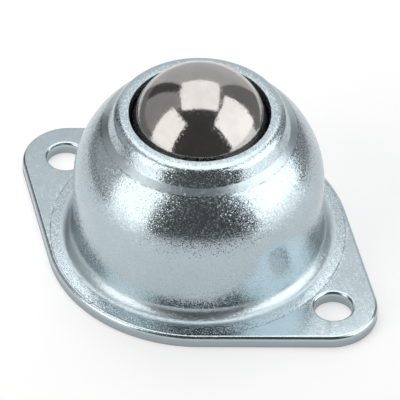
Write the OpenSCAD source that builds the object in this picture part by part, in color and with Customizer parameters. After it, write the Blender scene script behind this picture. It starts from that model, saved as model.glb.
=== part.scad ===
// Ball transfer unit with a two-hole flange: a load ball turns on rows of small
// support balls in a hardened cup, inside one pressed steel housing.
// Origin: centre of the flange's seating face, under the load ball. +Z is up, and
// +X runs through the two bolt holes. Sections are drawn with x as the radius.

/* [Balls] */
// Diameter of the load ball
load_ball_d = 25.4; // [24:0.1:27]
// Height from the seating face to the top of the load ball
overall_h = 40.3; // [38:0.1:48]
// Diameter of one support ball
support_ball_d = 4.7625; // [4:0.0125:5]
// Running clearance between a support ball and each surface that it rolls on
roll_clearance = 0.03; // [0.01:0.01:0.08]
// Smallest space between neighbouring support balls
ball_spacing = 0.03; // [0.02:0.01:0.2]

/* [Bearing cup] */
// Wall of the hardened cup
cup_wall = 1.5; // [1.2:0.1:2]
// Drain hole in the bottom of the cup
drain_d = 4; // [2:0.1:4.5]
// Clearance between the cup's rim and the inside of the shoulder
rim_clearance = 0.08; // [0.02:0.01:0.3]

/* [Housing] */
// Thickness of the pressed sheet
sheet = 2.5; // [2:0.1:3]
// Space between the cup and the straight wall of the housing
cup_to_wall = 1.48; // [1:0.02:3]
// Radius of the shoulder's outer curve
shoulder_r = 18; // [16:0.1:22]
// Height of the shoulder's upper edge over the ball's centre
shoulder_top = 0.35; // [-0.5:0.05:1]
// Width of the sloping ledge round the neck
ledge_w = 1.45; // [1:0.05:2]
// Rise of the ledge
ledge_rise = 0.75; // [0.5:0.05:1.5]
// Width of the neck ring, from the lip's inner edge to the neck's side
neck_w = 3.95; // [3.6:0.05:5]
// Radius of the neck's rounded crown
crown_r = 2.4; // [2:0.1:2.6]
// How deep the crown's top is pressed flat
crown_flat = 0.04; // [0.02:0.01:0.1]
// How far the lip's edge reaches in over the widest part of the ball
lip_overlap = 0.2; // [0.1:0.05:0.4]
// Height of the lip's closest point over the ball's centre
lip_rise = 2.8; // [2.4:0.1:3.2]
// Angle at which the lip's cut edge leans away from the ball
lip_lean = 15; // [5:1:25]
// Height of the neck's top over the ball's centre
neck_top = 4.3; // [4:0.1:5]

/* [Flange] */
// Distance between the two bolt holes
hole_spacing = 63; // [61:0.5:70]
// Diameter of a bolt hole
hole_d = 7; // [5:0.1:8]
// Rounding at the upper edge of a bolt hole
hole_edge_r = 0.55; // [0.3:0.05:0.8]
// Length of the flange
flange_l = 78.8; // [76:0.2:90]
// Radius of the flange's two ends
end_r = 8.8; // [7:0.1:10]
// Radius of the bend between wall and flange
bend_r = 2.5; // [2:0.1:3]
// Width of the pressed ring round the bend
ring_w = 1.75; // [1:0.05:2]
// Height of that ring at the bend
ring_h = 0.2; // [0.1:0.05:0.4]
// Flat left between that ring and the flange's rolled edge, at the flange's sides
side_flat = 0.05; // [0.05:0.05:3]
// Rolled rounding along the flange's upper edge
edge_r = 0.7; // [0.3:0.1:1]

/* [Support ring] */
// Thickness of the pressed ring that carries the cup
base_sheet = 2; // [1.5:0.1:2.5]
// Height of the ring's outer skirt
skirt_h = 9; // [7:0.5:11]
// Angle from the bottom of the cup to the middle of its seat
seat_angle = 40; // [35:1:50]
// Run of the ring's cone from its seat to its foot
cone_run = 3; // [2:0.1:4]
// Clearance between the skirt and the housing's bore
skirt_clearance = 0.03; // [0.01:0.01:0.1]
// Clearance between the cup and its seat
seat_clearance = 0.02; // [0.01:0.01:0.1]

/* [Hidden] */
$fn = 128;
// Overshoot of a cutting shape
over = 1;

// Balls
ball_r = load_ball_d / 2;
small_r = support_ball_d / 2;
centre_z = overall_h - ball_r;
track_r = ball_r + roll_clearance + small_r;
half_pitch = small_r + ball_spacing / 2;
// Three balls ring the drain hole, and each further row lies one pitch up the cup
first_polar = asin(half_pitch / sin(60) / track_r);
row_step = 2 * asin(half_pitch / track_r);

// Cup
cup_in_r = track_r + small_r + roll_clearance;
cup_out_r = cup_in_r + cup_wall;

// Housing
bore_r = cup_out_r + cup_to_wall;
body_r = bore_r + sheet;
lip_open_r = ball_r - lip_overlap;
neck_r = lip_open_r + neck_w;
ledge_r = neck_r + ledge_w;
ledge_z = centre_z + shoulder_top;
neck_z = ledge_z + ledge_rise;
ledge_slope = ledge_rise / ledge_w;
// A radius outside the whole body, for cutting shapes
far_r = body_r + over;
shoulder_x = body_r - shoulder_r;
shoulder_z = ledge_z - sqrt(pow(shoulder_r, 2) - pow(ledge_r - shoulder_x, 2));
crown_top = centre_z + neck_top;
crown_x = neck_r - crown_r;
crown_z = crown_top + crown_flat - crown_r;
lip_z = centre_z + lip_rise;
lip_top_r = lip_open_r + (crown_top - lip_z) * tan(lip_lean);

// The cup's rim stops where its outer corner meets the inside of the shoulder
rim_drop = -rim_height();
last_polar = acos((rim_drop + roll_clearance) / cup_in_r);
rows = floor((last_polar - first_polar) / row_step) + 1;

// Flange
bend_x = body_r + bend_r;
bend_z = sheet + ring_h + bend_r;
flare_r = bend_x - bore_r;
foot_r = bend_x + ring_w;
plate_bore_r = bend_x + ring_w / 2;
side_r = foot_r + side_flat + edge_r;
end_x = flange_l / 2 - end_r;

// Support ring
skirt_r = bore_r - skirt_clearance;
seat_r = cup_out_r + seat_clearance;
seat_x = cup_out_r * sin(seat_angle);
seat_z = centre_z - cup_out_r * cos(seat_angle);

// Height, over the ball's centre, at which the cup's outside meets the shoulder's inside
function rim_height() =
    let (
        inside_r = shoulder_r - sheet - rim_clearance,
        dx = shoulder_x,
        dz = shoulder_z - centre_z,
        apart = norm([dx, dz]),
        along = (pow(cup_out_r, 2) - pow(inside_r, 2) + pow(apart, 2)) / (2 * apart),
        across = sqrt(pow(cup_out_r, 2) - pow(along, 2))
    )
    (along * dz + across * dx) / apart;

function row_polar(row) = first_polar + row * row_step;
function row_r(row) = track_r * sin(row_polar(row));
function row_count(row) = floor(180 / asin(half_pitch / row_r(row)) + 0.001);
function ball_name(row, k) = str("support_ball_", row + 1, "_", k + 1);

// Slice of a disc between two angles, with its point at the disc's centre
module wedge(r, from, to) {
    fan = [for (i = [0 : 3]) from + (to - from) * i / 3];
    intersection() {
        circle(r);
        polygon(concat([[0, 0]], [for (a = fan) 3 * r * [cos(a), sin(a)]]));
    }
}

module band(width, z_low, z_high) {
    translate([0, z_low])
        square([width, z_high - z_low]);
}

// Everything inside the housing's outer surface, up to the crown
module outer_skin() {
    difference() {
        polygon([
            [0, 0],
            [foot_r, 0],
            [foot_r, sheet],
            [bend_x, sheet + ring_h],
            [bend_x, bend_z],
            [0, bend_z]
        ]);
        translate([bend_x, bend_z])
            circle(bend_r);
    }
    band(body_r, bend_z, shoulder_z);
    // The shoulder's curve, cut off by the slope of the ledge
    intersection() {
        translate([shoulder_x, shoulder_z])
            circle(shoulder_r);
        polygon([
            [0, shoulder_z],
            [far_r, shoulder_z],
            [far_r, neck_z - ledge_slope * (far_r - neck_r)],
            [neck_r, neck_z],
            [0, neck_z]
        ]);
    }
    band(neck_r, neck_z, crown_z);
}

// The crown, pressed flat on top, and the lip, whose cut edge leans in over the ball
module crown() {
    intersection() {
        union() {
            translate([crown_x, crown_z])
                circle(crown_r);
            translate([0, crown_z])
                square([crown_x, crown_r + over]);
        }
        polygon([
            [lip_open_r, lip_z],
            [lip_top_r, crown_top],
            [far_r, crown_top],
            [far_r, crown_z],
            [min(neck_r - sheet, crown_x), crown_z]
        ]);
    }
}

// The hollow: flared mouth, bore, inside of the shoulder and inside of the neck
module inner_skin() {
    difference() {
        translate([-over, -over])
            square([bend_x + over, flare_r + over]);
        translate([bend_x, flare_r])
            circle(flare_r);
    }
    translate([-over, 0]) {
        band(bore_r + over, flare_r, shoulder_z);
        band(neck_r - sheet + over, shoulder_z, crown_z + over);
    }
    intersection() {
        translate([shoulder_x, shoulder_z])
            circle(shoulder_r - sheet);
        translate([-over, shoulder_z])
            square(2 * shoulder_r);
    }
}

module housing_section() {
    difference() {
        outer_skin();
        inner_skin();
    }
    crown();
}

// Edge of the flange: flat below, with the upper corner rolled over
module edge_section(width) {
    band(width, 0, sheet - edge_r);
    band(width - edge_r, sheet - edge_r, sheet);
    translate([width - edge_r, sheet - edge_r])
        wedge(edge_r, 0, 90, $fn = 32);
}

module rolled_disc(r) {
    rotate_extrude()
        edge_section(r);
}

// The flange's outline is drawn taut round a wide disc and a small one at each end
module flange_plate() {
    hull() {
        rolled_disc(side_r);
        for (side = [-1, 1])
            translate([side * end_x, 0, 0])
                rolled_disc(end_r);
    }
}

// A bolt hole with the rounded upper edge that punching leaves
module bolt_hole() {
    translate([0, 0, -over])
        cylinder(d = hole_d, h = sheet + 2 * over);
    translate([0, 0, sheet - hole_edge_r])
        rotate_extrude()
            difference() {
                square([hole_d / 2 + hole_edge_r, hole_edge_r + over]);
                translate([hole_d / 2 + hole_edge_r, 0])
                    circle(hole_edge_r);
            }
}

module housing() {
    color("lightsteelblue")
        union() {
            rotate_extrude()
                housing_section();
            difference() {
                flange_plate();
                translate([0, 0, -over])
                    cylinder(r = plate_bore_r, h = sheet + 2 * over);
                for (side = [-1, 1])
                    translate([side * hole_spacing / 2, 0, 0])
                        bolt_hole();
            }
        }
}

module bearing_cup() {
    color("dimgray")
        rotate_extrude()
            translate([0, centre_z])
                intersection() {
                    difference() {
                        circle(cup_out_r);
                        circle(cup_in_r);
                    }
                    translate([drain_d / 2, -2 * cup_out_r])
                        square([cup_out_r, 2 * cup_out_r - rim_drop]);
                }
}

module support_ring() {
    foot_in = seat_x + cone_run - base_sheet / 2;
    top_z = seat_z + base_sheet;
    color("silver")
        rotate_extrude()
            difference() {
                polygon([
                    [foot_in, 0],
                    [skirt_r, 0],
                    [skirt_r, skirt_h],
                    [skirt_r - base_sheet, skirt_h],
                    [skirt_r - base_sheet, base_sheet],
                    [foot_in + base_sheet, base_sheet],
                    [seat_x + base_sheet / 2, top_z],
                    [seat_x - base_sheet / 2, top_z]
                ]);
                translate([0, centre_z])
                    circle(seat_r);
            }
}

module load_ball() {
    color("gray")
        translate([0, 0, centre_z])
            sphere(ball_r);
}

module support_ball(row, k) {
    color("darkgray")
        rotate(360 * k / row_count(row))
            translate([row_r(row), 0, centre_z - track_r * cos(row_polar(row))])
                sphere(small_r, $fn = 48);
}

housing();
bearing_cup();
support_ring();
load_ball();
for (row = [0 : rows - 1])
    for (k = [0 : row_count(row) - 1])
        support_ball(row, k);
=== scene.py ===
import math
import bmesh
import bpy
from mathutils import Matrix, Vector


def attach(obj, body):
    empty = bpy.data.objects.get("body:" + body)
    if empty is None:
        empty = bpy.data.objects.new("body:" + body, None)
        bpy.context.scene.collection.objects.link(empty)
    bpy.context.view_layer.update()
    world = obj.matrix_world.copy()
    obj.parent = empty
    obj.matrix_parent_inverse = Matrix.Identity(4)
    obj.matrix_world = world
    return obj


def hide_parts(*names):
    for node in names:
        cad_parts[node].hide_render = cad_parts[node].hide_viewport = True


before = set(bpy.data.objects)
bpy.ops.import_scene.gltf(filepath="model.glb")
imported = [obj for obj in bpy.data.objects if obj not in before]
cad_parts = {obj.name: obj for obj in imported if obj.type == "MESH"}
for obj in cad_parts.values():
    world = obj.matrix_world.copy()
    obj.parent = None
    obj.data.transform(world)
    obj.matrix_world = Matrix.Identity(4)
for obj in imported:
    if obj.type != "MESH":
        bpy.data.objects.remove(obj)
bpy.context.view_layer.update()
mm = 0.001  # Blender counts in metres, the dictionaries below in millimetres and degrees


# small helpers for the node trees
def plug(tree, socket, value):
    # another node's output is linked, a number or colour is set on the socket itself
    if isinstance(value, bpy.types.NodeSocket):
        tree.links.new(value, socket)
    else:
        socket.default_value = value


def calc(tree, kind, a, b=0.0):
    node = tree.nodes.new("ShaderNodeMath")
    node.operation = kind
    plug(tree, node.inputs[0], a)
    plug(tree, node.inputs[1], b)
    return node.outputs[0]


def both(tree, a, b):
    return calc(tree, "MULTIPLY", a, b)


def either(tree, a, b):
    return calc(tree, "MAXIMUM", a, b)


def vectorCalc(tree, kind, a, b=None):
    node = tree.nodes.new("ShaderNodeVectorMath")
    node.operation = kind
    plug(tree, node.inputs[0], a)
    if b is not None:
        plug(tree, node.inputs["Scale" if kind == "SCALE" else 1], b)
    return node.outputs[0]


def fade(tree, value, low, high, toLow=0.0, toHigh=1.0):
    # toLow up to low, toHigh from high on, and an even slope between them
    step = tree.nodes.new("ShaderNodeMapRange")
    plug(tree, step.inputs["Value"], value)
    for name, level in (("From Min", low), ("From Max", high), ("To Min", toLow), ("To Max", toHigh)):
        step.inputs[name].default_value = level
    return step.outputs["Result"]


def band(tree, value, low, high, soft):
    # 1 between low and high in millimetres, fading to 0 over the soft width outside them
    rise = fade(tree, value, (low - soft) * mm, low * mm)
    fall = fade(tree, value, high * mm, (high + soft) * mm, 1.0, 0.0)
    return both(tree, rise, fall)


def tint(tree, amount, colourA, colourB):
    mix = tree.nodes.new("ShaderNodeMix")
    mix.data_type = "RGBA"
    plug(tree, mix.inputs["Factor"], amount)
    for name, colour in (("A", colourA), ("B", colourB)):
        socket = [s for s in mix.inputs if s.name == name and s.type == "RGBA"][0]
        plug(tree, socket, (*colour, 1.0) if isinstance(colour, tuple) else colour)
    return [s for s in mix.outputs if s.type == "RGBA"][0]


def speckle(tree, spot, size, detail=2.0, rough=0.5):
    # cloudy noise, size is the width of one patch in millimetres
    noise = tree.nodes.new("ShaderNodeTexNoise")
    plug(tree, noise.inputs["Vector"], spot)
    for name, level in (("Scale", 1 / (size * mm)), ("Detail", detail), ("Roughness", rough)):
        noise.inputs[name].default_value = level
    return noise.outputs["Fac"]


def cells(tree, spot, size):
    # small cells, each with its own colour, which serves as three chances from 0 to 1
    made = tree.nodes.new("ShaderNodeTexVoronoi")
    made.inputs["Scale"].default_value = 1 / (size * mm)
    plug(tree, made.inputs["Vector"], spot)
    chances = tree.nodes.new("ShaderNodeSeparateColor")
    plug(tree, chances.inputs[0], made.outputs["Color"])
    return made, chances.outputs


def pits(tree, spot, size, reach):
    # small dimples, one to a cell, only in some of the cells
    made, chances = cells(tree, spot, size)
    dimple = fade(tree, made.outputs["Distance"], 0.0, reach, 1.0, 0.0)
    return both(tree, dimple, fade(tree, chances[0], 0.3, 1.0))


def sand(tree, spot, size, tilt, under):
    # fine crystals that each lean their own way, most of them only a little
    # the first result is the surface, the second a chance from 0 to 1 for each crystal
    made, chances = cells(tree, spot, size)
    few = both(tree, calc(tree, "POWER", chances[2], 2.6), tilt)
    lean = vectorCalc(tree, "SUBTRACT", made.outputs["Color"], (0.5, 0.5, 0.5))
    leaning = vectorCalc(tree, "ADD", vectorCalc(tree, "SCALE", lean, few), under)
    return vectorCalc(tree, "NORMALIZE", leaning), chances[0]


def relief(tree, height, depth, under=None):
    # depth is how far the height of 1 stands up, in millimetres
    bump = tree.nodes.new("ShaderNodeBump")
    bump.inputs["Strength"].default_value = 1.0
    bump.inputs["Distance"].default_value = depth * mm
    plug(tree, bump.inputs["Height"], height)
    if under is not None:
        plug(tree, bump.inputs["Normal"], under)
    return bump.outputs["Normal"]


def newMetal(name):
    finish = bpy.data.materials.new(name)
    finish.use_nodes = True
    tree = finish.node_tree
    tree.nodes.clear()
    shader = tree.nodes.new("ShaderNodeBsdfPrincipled")
    shader.inputs["Metallic"].default_value = 1.0
    output = tree.nodes.new("ShaderNodeOutputMaterial")
    plug(tree, output.inputs["Surface"], shader.outputs["BSDF"])
    spot = tree.nodes.new("ShaderNodeTexCoord").outputs["Object"]
    return finish, tree, shader, spot


# the pressed housing: one zinc-plated sheet, drawn up into a dome over a flat flange
# a name that ends in R is a radius or a distance from the ball's axis, one in X a distance along the flange
# and one in Z a height over the seating face
housing = dict(
    sheet=2.5,
    boreR=20.5025,
    bodyR=23.0025,
    shoulder=(5.0025, 15.388, 18.0),  # centre and radius of the dome's curve
    ledgeR=17.88,
    ledgeZ=27.93,
    ledgeBlend=1.2,  # degrees of the dome given to the soft corner at the ledge
    ledgeCornerR=0.5,
    neckR=16.57,
    neckZ=28.9,
    neckInR=13.95,
    creaseR=0.2,  # where the ledge turns up into the neck
    crown=(13.93, 30.1, 2.0),
    crownTurn=(24, 89),  # where the crown leaves the leaning neck and where its top goes flat
    crownTop=32.1,
    lip=(12.5, 30.5),  # the point that holds the ball in
    lipTopR=12.902,
    lipUnderZ=29.54,
    lipCornerR=0.14,
    bendR=2.5,
    ringW=1.75,  # the coined ring between the bend and the flat flange
    ringH=0.2,
    sideR=28.0,  # the flange is a taut line round this disc and one of endR at each end
    endR=8.8,
    endX=30.6,
    edgeR=0.7,  # the rolled upper edge
    edgeBreak=0.08,  # the lower edge is only broken
    holeX=31.5,
    holeR=3.5,
    holeEdgeR=0.55,
    turnSteps=288,  # points in each ring round the axis
    holeSteps=96,
    edgeSteps=18,
    sharpFrom=5.6,  # a fold of more degrees than this stays sharp
)


def arc(x, z, r, fromDeg, toDeg, steps):
    turn = [math.radians(fromDeg + (toDeg - fromDeg) * i / steps) for i in range(steps + 1)]
    return [(x + r * math.cos(a), z + r * math.sin(a)) for a in turn]


def straight(start, end, steps):
    # the points between start and end, without the two
    return [tuple(Vector(start).lerp(Vector(end), i / steps)) for i in range(1, steps)]


def softCorner(before, corner, after, r, steps):
    # a small round of radius r in place of a sharp corner between two straight runs
    c, a, b = Vector(corner), Vector(before), Vector(after)
    u, v = (a - c).normalized(), (b - c).normalized()
    half = u.angle(v) / 2
    start, stop = c + u * r / math.tan(half), c + v * r / math.tan(half)
    middle = c + (u + v).normalized() * r / math.sin(half)
    first, last = start - middle, stop - middle
    sweep = first.angle(last)
    turn = [i / steps for i in range(steps + 1)]
    return [tuple(middle + (first * math.sin((1 - t) * sweep) + last * math.sin(t * sweep)) / math.sin(sweep))
            for t in turn]


def housingSection(h):
    # up the outside from the pressed ring, over the lip, and down the inside to the flared mouth
    bendX = h["bodyR"] + h["bendR"]
    bendZ = h["sheet"] + h["ringH"] + h["bendR"]
    flareR = bendX - h["boreR"]
    shoulderX, shoulderZ, shoulderR = h["shoulder"]
    ledge, crease, lip = (h["ledgeR"], h["ledgeZ"]), (h["neckR"], h["neckZ"]), h["lip"]
    lipTop, lipUnder = (h["lipTopR"], h["crownTop"]), (h["neckInR"], h["lipUnderZ"])
    ledgeTurn = math.degrees(math.asin((h["ledgeZ"] - shoulderZ) / shoulderR))
    insideR = shoulderR - h["sheet"]
    insideTurn = math.degrees(math.acos((h["neckInR"] - shoulderX) / insideR))
    dome = arc(shoulderX, shoulderZ, shoulderR, 0, ledgeTurn - h["ledgeBlend"], 26)
    crown = arc(*h["crown"], *h["crownTurn"], 20)
    path = [(bendX + h["ringW"], h["sheet"])]
    path += arc(bendX, bendZ, h["bendR"], 270, 180, 24)
    path += straight((h["bodyR"], bendZ), (h["bodyR"], shoulderZ), 6)
    path += dome
    path += softCorner(dome[-1], ledge, crease, h["ledgeCornerR"], 5)
    path += softCorner(ledge, crease, crown[0], h["creaseR"], 12)
    path += straight(crease, crown[0], 8)[1:]
    path += crown
    path += softCorner(crown[-1], lipTop, lip, h["lipCornerR"], 20)
    path += softCorner(lipTop, lip, lipUnder, h["lipCornerR"], 20)
    path += [lipUnder]
    path += arc(shoulderX, shoulderZ, insideR, insideTurn, 0, 16)
    path += straight((h["boreR"], shoulderZ), (h["boreR"], flareR), 4)
    path += arc(bendX, flareR, flareR, 180, 270, 20)
    return path


def flangeOutline(h):
    # points and outward directions round a taut line over a wide disc and one small disc at each end
    lean = math.degrees(math.acos((h["sideR"] - h["endR"]) / h["endX"]))
    rim = []
    for x, r, start, stop, steps in (
        (h["endX"], h["endR"], -lean, lean, 72),
        (0.0, h["sideR"], lean, 180 - lean, 90),
        (-h["endX"], h["endR"], 180 - lean, 180 + lean, 72),
        (0.0, h["sideR"], 180 + lean, 360 - lean, 90),
    ):
        for i in range(steps + 1):
            a = math.radians(start + (stop - start) * i / steps)
            out = Vector((math.cos(a), math.sin(a)))
            rim.append((Vector((x, 0)) + out * r, out))
    # the straight runs, which are longer than 3 mm, get a few points of their own
    full = []
    for (a, outA), (b, outB) in zip(rim, rim[1:] + rim[:1]):
        full.append((a, outA))
        if (b - a).length > 3:
            full += [(a.lerp(b, i / 8), outA) for i in range(1, 8)]
    return full


def holeOutline(h, side):
    # the same for a bolt hole, where the way out of the metal is towards the hole's centre
    rim = []
    for i in range(h["holeSteps"]):
        a = 2 * math.pi * i / h["holeSteps"]
        out = Vector((math.cos(a), math.sin(a)))
        rim.append((Vector((side * h["holeX"], 0)) + out * h["holeR"], -out))
    return rim


def loopFaces(mesh, low, high, flip=False):
    for i in range(len(low)):
        j = (i + 1) % len(low)
        quad = (low[i], low[j], high[j], high[i])
        mesh.faces.new(quad[::-1] if flip else quad)


def closedEdges(mesh, loop):
    return [mesh.edges.get((a, b)) or mesh.edges.new((a, b)) for a, b in zip(loop, loop[1:] + loop[:1])]


def cornerLoops(mesh, h, points, edgeR, flip=False):
    # loops down a cut edge of the sheet: the upper corner is rounded, the lower one just broken
    top, low = h["sheet"], h["edgeBreak"]
    quarter = [math.radians(90 * i / h["edgeSteps"]) for i in range(h["edgeSteps"] + 1)]
    steps = [(edgeR * (1 - math.sin(a)), top - edgeR * (1 - math.cos(a))) for a in quarter]
    steps += [(0, low + (top - edgeR - low) * k) for k in (0.66, 0.33, 0)]
    steps += [(low, 0)]
    loops = [[mesh.verts.new(((p.x - out.x * inset) * mm, (p.y - out.y * inset) * mm, z * mm))
              for p, out in points] for inset, z in steps]
    for high, under in zip(loops, loops[1:]):
        loopFaces(mesh, under, high, flip)
    return loops


def makeHousing(h):
    mesh = bmesh.new()
    turn = [2 * math.pi * i / h["turnSteps"] for i in range(h["turnSteps"])]
    rings = [[mesh.verts.new((r * mm * math.cos(a), r * mm * math.sin(a), z * mm)) for a in turn]
             for r, z in housingSection(h)]
    for low, high in zip(rings, rings[1:]):
        loopFaces(mesh, low, high)
    cuts = [cornerLoops(mesh, h, flangeOutline(h), h["edgeR"])]
    cuts += [cornerLoops(mesh, h, holeOutline(h, side), h["holeEdgeR"], flip=True) for side in (1, -1)]
    # flat top and flat underside, each filled between its loops
    for level, ring, up in ((0, rings[0], 1), (-1, rings[-1], -1)):
        edges = closedEdges(mesh, cuts[0][level]) + closedEdges(mesh, ring)
        for hole in cuts[1:]:
            edges += closedEdges(mesh, hole[level])
        bmesh.ops.triangle_fill(mesh, edges=edges, use_beauty=True, normal=(0, 0, up))
    bmesh.ops.recalc_face_normals(mesh, faces=mesh.faces)
    data = bpy.data.meshes.new("pressedHousing")
    mesh.to_mesh(data)
    mesh.free()
    piece = bpy.data.objects.new("pressedHousing", data)
    bpy.context.scene.collection.objects.link(piece)
    for face in data.polygons:
        face.use_smooth = True
    data.set_sharp_from_angle(angle=math.radians(h["sharpFrom"]))
    weigh = piece.modifiers.new("evenShade", "WEIGHTED_NORMAL")
    weigh.keep_sharp = True
    weigh.weight = 100
    return piece


zinc = dict(
    bright=(0.46, 0.535, 0.57),
    dull=(0.435, 0.51, 0.545),
    sheared=(0.33, 0.38, 0.40),
    # dark is the colour of the rubs and of the painted shade lines in the creases
    dark=(0.12, 0.12, 0.125),
    # painted shade of the gap round the ball, on the lip's inner edge
    lipGapShadeColour=(0.26, 0.285, 0.3),
    patch=7.0,
    roughness=0.165,
    ledgeRoughness=0.29,
    bendRoughness=0.30,
    edgeRoughness=0.42,
    mattRoughness=0.5,
    grain=0.15,  # width of one crystal
    tilt=0.45,  # how far the crystals lean
    pit=0.32,
    pitDepth=0.02,
    wave=6.0,
    waveDepth=0.02,
    rub=1.5,
    rubStretch=2.2,
    rubBand=(14.0, 19.5),
    lineBreak=2.5,
    rubAndShadeWeight=0.7,
)


def zincPlate(z, h):
    finish, tree, shader, spot = newMetal("zincPlate")
    axis = tree.nodes.new("ShaderNodeSeparateXYZ")
    plug(tree, axis.inputs[0], spot)
    high = axis.outputs["Z"]
    squares = [calc(tree, "POWER", axis.outputs[side], 2.0) for side in ("X", "Y")]
    out = calc(tree, "SQRT", calc(tree, "ADD", *squares))
    footR = h["bodyR"] + h["bendR"] + h["ringW"]
    bendTop = h["sheet"] + h["ringH"] + h["bendR"]
    edgeTop = h["sheet"] - h["edgeR"]

    # the ledge round the neck is ironed by the press, the bend is stretched, the edges are sheared
    ironed = both(tree, band(tree, out, h["neckR"] + 0.03, h["ledgeR"] - 0.13, 0.08),
                  band(tree, high, h["ledgeZ"] - 0.13, h["neckZ"], 0.1))
    bent = both(tree, band(tree, out, h["bodyR"] + 0.1, h["bodyR"] + h["bendR"], 0.3),
                band(tree, high, h["sheet"] - 0.1, bendTop, 0.5))
    sheared = fade(tree, high, (edgeTop - 0.25) * mm, edgeTop * mm, 1.0, 0.0)
    flat = both(tree, fade(tree, high, h["sheet"] * mm, (h["sheet"] + 0.12) * mm, 1.0, 0.0),
                fade(tree, out, (footR - 0.05) * mm, (footR + 0.95) * mm))
    # the lip's inner edge round the ball is painted darker: painted shade of the gap between the lip and the
    # ball
    lipGapShade = both(tree, fade(tree, out, (h["lipTopR"] - 0.06) * mm, (h["lipTopR"] + 0.04) * mm, 1.0, 0.0),
                  fade(tree, high, (h["lipUnderZ"] - 0.54) * mm, (h["lipUnderZ"] - 0.34) * mm))

    # small dark rubs under the dome, and broken lines of painted shade at the coined ring's foot and in the
    # ledge's groove
    stretch = tree.nodes.new("ShaderNodeMapping")
    stretch.inputs["Scale"].default_value = (1.0, 1.0, z["rubStretch"])
    plug(tree, stretch.inputs["Vector"], spot)
    rubs = both(tree, pits(tree, stretch.outputs[0], z["rub"], 0.13), band(tree, high, *z["rubBand"], 2.5))
    ringFootShade = both(tree, band(tree, out, footR - 0.09, footR + 0.05, 0.1),
                    fade(tree, high, (h["sheet"] - 0.1) * mm, (h["sheet"] - 0.05) * mm))
    grooveShade = both(tree, band(tree, out, h["ledgeR"] - 0.04, h["ledgeR"] + 0.08, 0.08),
                  band(tree, high, h["ledgeZ"] - 0.23, h["ledgeZ"] + 0.17, 0.1))
    breaks = fade(tree, speckle(tree, spot, z["lineBreak"], 3.0, 0.7), 0.42, 0.58, 0.1, 0.8)
    rubsAndShadeLines = either(tree, rubs, both(tree, either(tree, ringFootShade, grooveShade), breaks))

    colour = tint(tree, fade(tree, speckle(tree, spot, z["patch"], 3.0), 0.35, 0.65), z["dull"], z["bright"])
    shade = both(tree, sheared, fade(tree, high, 0.0, 1.6 * mm, 1.0, 0.55))
    colour = tint(tree, shade, colour, z["sheared"])
    # the rubs and the painted shade lines in the creases darken the colour
    colour = tint(tree, both(tree, rubsAndShadeLines, z["rubAndShadeWeight"]), colour, z["dark"])
    plug(tree, shader.inputs["Base Color"], tint(tree, lipGapShade, colour, z["lipGapShadeColour"]))

    # the sandy grain of the plating, weaker on the flat flange and the ironed ledge
    calm = fade(tree, either(tree, both(tree, ironed, 0.4), flat), 0, 1, 1.0, 0.25)
    swell = relief(tree, speckle(tree, spot, z["wave"]), z["waveDepth"])
    pitted = relief(tree, both(tree, pits(tree, spot, z["pit"], 0.45), calm), z["pitDepth"], swell)
    surface, chance = sand(tree, spot, z["grain"], both(tree, calm, z["tilt"]), pitted)
    plug(tree, shader.inputs["Normal"], surface)

    sheen = fade(tree, speckle(tree, spot, 0.9), 0.3, 0.7, z["roughness"] - 0.03, z["roughness"] + 0.05)
    rougher = ((ironed, z["ledgeRoughness"]), (bent, z["bendRoughness"]), (sheared, z["edgeRoughness"]))
    for mask, value in rougher:
        sheen = either(tree, sheen, both(tree, mask, value))
    matt = both(tree, fade(tree, chance, 0.6, 1.0, 0.0, z["mattRoughness"]), calm)
    plug(tree, shader.inputs["Roughness"], either(tree, sheen, matt))
    return finish


shell = makeHousing(housing)
shell.data.materials.append(zincPlate(zinc, housing))
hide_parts("housing")
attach(shell, "housing_body")
print("housing made")

# the load ball, the small balls, the cup and the ring under it keep their own solids
steel = dict(
    loadBall=dict(colour=(0.40, 0.388, 0.37), roughness=0.085, grain=0.14, lean=0.13),
    supportBall=dict(colour=(0.45, 0.44, 0.43), roughness=0.12, grain=0.25, lean=0.05),
    cup=dict(colour=(0.30, 0.30, 0.31), roughness=0.38),
    ring=dict(colour=(0.48, 0.56, 0.62), roughness=0.32),
)


def polishedBall(name, s):
    finish, tree, shader, spot = newMetal(name)
    dark = tuple(c * 0.9 for c in s["colour"])
    patches = fade(tree, speckle(tree, spot, 4.0), 0.35, 0.65)
    plug(tree, shader.inputs["Base Color"], tint(tree, patches, dark, s["colour"]))
    ripple = relief(tree, speckle(tree, spot, s["grain"], 2.0, 0.6), 0.002)
    surface, chance = sand(tree, spot, s["grain"], s["lean"], ripple)
    plug(tree, shader.inputs["Normal"], surface)
    haze = fade(tree, speckle(tree, spot, 0.8, 3.0), 0.3, 0.7, s["roughness"] * 0.8, s["roughness"] * 1.25)
    matt = fade(tree, chance, 0.8, 1.0, 0.0, s["roughness"] * 3)
    plug(tree, shader.inputs["Roughness"], either(tree, haze, matt))
    return finish


def groundSteel(name, s):
    finish, tree, shader, spot = newMetal(name)
    dark = tuple(c * 0.8 for c in s["colour"])
    patches = speckle(tree, spot, 3.0, 3.0)
    plug(tree, shader.inputs["Base Color"], tint(tree, fade(tree, patches, 0.3, 0.7), dark, s["colour"]))
    sheen = fade(tree, patches, 0.3, 0.7, s["roughness"] - 0.06, s["roughness"] + 0.08)
    plug(tree, shader.inputs["Roughness"], sheen)
    plug(tree, shader.inputs["Normal"], relief(tree, speckle(tree, spot, 0.25, 3.0, 0.6), 0.01))
    return finish


def dress(node, finish):
    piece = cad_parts[node]
    piece.data.materials.clear()
    piece.data.materials.append(finish)


dress("load_ball", polishedBall("polishedSteel", steel["loadBall"]))
smallFinish = polishedBall("supportBallSteel", steel["supportBall"])
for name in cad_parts:
    if name.startswith("support_ball_"):
        dress(name, smallFinish)
dress("bearing_cup", groundSteel("hardenedCup", steel["cup"]))
dress("support_ring", groundSteel("platedRing", steel["ring"]))
print("steel dressed")

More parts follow.
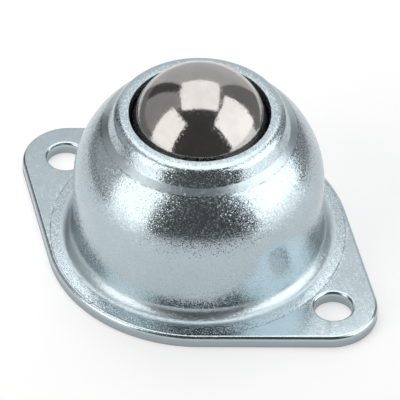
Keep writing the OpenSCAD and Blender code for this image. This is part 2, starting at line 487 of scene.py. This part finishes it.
# the studio's lengths are in metres
studio = dict(
    floorSize=6.0,
    floorGap=0.00002,
    floorColour=(0.62, 0.62, 0.62),
    floorGlow=0.48,
    roomFill=0.35,
    middle=0.027,  # height of the point that lamps and cards stand round
    hoodGap=0.01,
    cardReach=2.4,
    tableLift=0.0005,
)
camera = dict(
    azimuth=37.648,  # angles in degrees, the two aims in metres
    elevation=43.701,
    distance=1.0,
    lens=490.40,
    aimSide=0.000303,
    aimHeight=0.010183,
    roll=1.055,
)


def standing(name, data):
    thing = bpy.data.objects.new(name, data)
    bpy.context.scene.collection.objects.link(thing)
    return thing


def towards(azimuth, elevation):
    # azimuth 0 is towards the camera and plus is to its right
    a, e, c = (math.radians(angle) for angle in (azimuth, elevation, camera["azimuth"]))
    near = Vector((math.sin(c), -math.cos(c), 0))
    right = Vector((math.cos(c), math.sin(c), 0))
    return (near * math.cos(a) + right * math.sin(a)) * math.cos(e) + Vector((0, 0, math.sin(e)))


def seenRays(tree):
    # 1 for what the camera, a reflection or a clear material sees, 0 for what lights other surfaces
    rays = tree.nodes.new("ShaderNodeLightPath")
    seen = either(tree, rays.outputs["Is Camera Ray"], rays.outputs["Is Glossy Ray"])
    return either(tree, seen, rays.outputs["Is Transmission Ray"])


def glowing(name, strength):
    finish = bpy.data.materials.new(name)
    finish.use_nodes = True
    tree = finish.node_tree
    tree.nodes.clear()
    glow = tree.nodes.new("ShaderNodeEmission")
    glow.inputs["Strength"].default_value = strength
    output = tree.nodes.new("ShaderNodeOutputMaterial")
    plug(tree, output.inputs["Surface"], glow.outputs[0])
    return finish


def makeFloor(s):
    half = s["floorSize"] / 2
    data = bpy.data.meshes.new("floor")
    corners = [(x * half, y * half, -s["floorGap"]) for x, y in ((-1, -1), (1, -1), (1, 1), (-1, 1))]
    data.from_pydata(corners, [], [(0, 1, 2, 3)])
    floor = standing("floor", data)
    finish = bpy.data.materials.new("floorPaper")
    finish.use_nodes = True
    tree = finish.node_tree
    tree.nodes.clear()
    matt = tree.nodes.new("ShaderNodeBsdfDiffuse")
    matt.inputs["Color"].default_value = (*s["floorColour"], 1)
    glow = tree.nodes.new("ShaderNodeEmission")
    plug(tree, glow.inputs["Strength"], both(tree, seenRays(tree), s["floorGlow"]))
    paper = tree.nodes.new("ShaderNodeAddShader")
    plug(tree, paper.inputs[0], matt.outputs[0])
    plug(tree, paper.inputs[1], glow.outputs[0])
    # the paper has no back, so the underside of the unit can be seen from below
    side = tree.nodes.new("ShaderNodeNewGeometry")
    clear = tree.nodes.new("ShaderNodeBsdfTransparent")
    oneSided = tree.nodes.new("ShaderNodeMixShader")
    plug(tree, oneSided.inputs[0], side.outputs["Backfacing"])
    plug(tree, oneSided.inputs[1], paper.outputs[0])
    plug(tree, oneSided.inputs[2], clear.outputs[0])
    output = tree.nodes.new("ShaderNodeOutputMaterial")
    plug(tree, output.inputs["Surface"], oneSided.outputs[0])
    data.materials.append(finish)


lamps = dict(
    left=dict(azimuth=-62, elevation=24, distance=0.5, width=0.37, height=0.55, radiance=2.2,
              colour=(1.0, 0.985, 0.96)),
    right=dict(azimuth=79, elevation=29, distance=0.5, width=0.57, height=0.55, radiance=2.3, fills=False),
    top=dict(azimuth=180, elevation=69.6, distance=0.52, width=0.52, height=0.56, radiance=2.1, flat=True),
)


def makeLamp(name, lamp, s):
    width, height, gap = lamp["width"], lamp["height"], s["hoodGap"]
    light = bpy.data.lights.new(name, "AREA")
    light.shape = "RECTANGLE"
    light.size = width
    light.size_y = height
    light.energy = lamp["radiance"] * math.pi * width * height
    light.color = lamp.get("colour", (1.0, 1.0, 1.0))
    out = towards(lamp["azimuth"], lamp["elevation"])
    turned = (-out).to_track_quat("-Z", "Y")
    if lamp.get("flat"):
        # held level, with its sides square to the camera
        side, away = towards(90, 0), -towards(0, 0)
        turned = Matrix((side, away, side.cross(away))).transposed().to_quaternion()
    # a black hood behind the lamp, as a softbox has, keeps the room from shining through it
    data = bpy.data.meshes.new(name + "Hood")
    corners = [(x * width / 2, y * height / 2, gap) for x, y in ((-1, -1), (1, -1), (1, 1), (-1, 1))]
    data.from_pydata(corners, [], [(0, 1, 2, 3)])
    data.materials.append(glowing(name + "Hood", 0.0))
    box, hood = standing(name, light), standing(name + "Hood", data)
    for thing in (box, hood):
        thing.location = out * lamp["distance"] + Vector((0, 0, s["middle"]))
        thing.rotation_mode = "QUATERNION"
        thing.rotation_quaternion = turned
        thing.visible_camera = False
    box.visible_diffuse = lamp.get("fills", True)


def makeRoom(s):
    room = bpy.data.worlds.new("studio")
    bpy.context.scene.world = room
    room.use_nodes = True
    tree = room.node_tree
    tree.nodes.clear()
    sky = tree.nodes.new("ShaderNodeBackground")
    sky.inputs["Color"].default_value = (1, 1, 1, 1)
    plug(tree, sky.inputs["Strength"], fade(tree, seenRays(tree), 0, 1, s["roomFill"], 1.0))
    output = tree.nodes.new("ShaderNodeOutputWorld")
    plug(tree, output.inputs["Surface"], sky.outputs[0])


# the studio's dark and grey parts, and two pools of painted light, which the camera itself does not see
# cards with an elevation stand round the unit, those with a start lie on the floor from that distance out
cards = dict(
    front=dict(azimuth=(-80, 100), elevation=(-3, 84), shade=0.09),
    left=dict(azimuth=(-129, -80), elevation=(-3, 66), shade=0.52),
    leftEdge=dict(azimuth=(-146, -129), elevation=(-3, 50), shade=0.11),
    right=dict(azimuth=(100, 144), elevation=(-3, 66), shade=0.31),
    back=dict(azimuth=(144, 214), elevation=(-3, 62), shade=0.85),
    frontTable=dict(azimuth=(-42, 49), start=0.17, shade=0.10),
    # the tables by the two lamps glow brighter than white: painted light for the paper that the lamps light,
    # seen only in reflections
    leftLampLightPool=dict(azimuth=(-80, -42), start=0.11, shade=1.5),
    rightLampLightPool=dict(azimuth=(49, 100), start=0.11, shade=1.5),
    leftTable=dict(azimuth=(-146, -80), start=0.14, shade=0.30),
    rightTable=dict(azimuth=(100, 144), start=0.14, shade=0.30),
    backTable=dict(azimuth=(144, 214), start=0.14, shade=0.80),
)


def evenly(ends, steps):
    return [ends[0] + (ends[1] - ends[0]) * i / steps for i in range(steps + 1)]


def makeCard(name, c, s):
    mesh = bmesh.new()
    reach, onTable = s["cardReach"], "start" in c
    lift = Vector((0, 0, s["tableLift"] if onTable else s["middle"]))
    rows = [(0, c["start"]), (0, reach)] if onTable else [(e, reach) for e in evenly(c["elevation"], 12)]
    grid = [[mesh.verts.new(towards(a, e) * r + lift) for a in evenly(c["azimuth"], 16)] for e, r in rows]
    for below, above in zip(grid, grid[1:]):
        for i in range(len(below) - 1):
            mesh.faces.new((below[i], below[i + 1], above[i + 1], above[i]))
    data = bpy.data.meshes.new(name)
    mesh.to_mesh(data)
    mesh.free()
    data.materials.append(glowing(name, c["shade"]))
    card = standing(name, data)
    card.visible_camera = False
    if onTable:
        card.visible_shadow = card.visible_diffuse = False


def makeCamera(c):
    roll = math.radians(c["roll"])
    back = towards(0, c["elevation"])
    right = towards(90, 0)
    up = back.cross(right)
    target = right * c["aimSide"] + Vector((0, 0, c["aimHeight"]))
    rightRolled = right * math.cos(roll) + up * math.sin(roll)
    upRolled = up * math.cos(roll) - right * math.sin(roll)
    data = bpy.data.cameras.new("camera")
    data.lens = c["lens"]
    data.sensor_width = 36
    data.clip_start, data.clip_end = 0.01, 50
    eye = standing("camera", data)
    eye.rotation_mode = "QUATERNION"
    eye.rotation_quaternion = Matrix((rightRolled, upRolled, back)).transposed().to_quaternion()
    eye.location = target + back * c["distance"]
    bpy.context.scene.camera = eye


makeFloor(studio)
for name, lamp in lamps.items():
    makeLamp(name + "Lamp", lamp, studio)
makeRoom(studio)
for name, card in cards.items():
    makeCard(name + "Card", card, studio)
print("studio made")

makeCamera(camera)
bpy.context.scene.view_settings.view_transform = "Standard"
print("camera set")
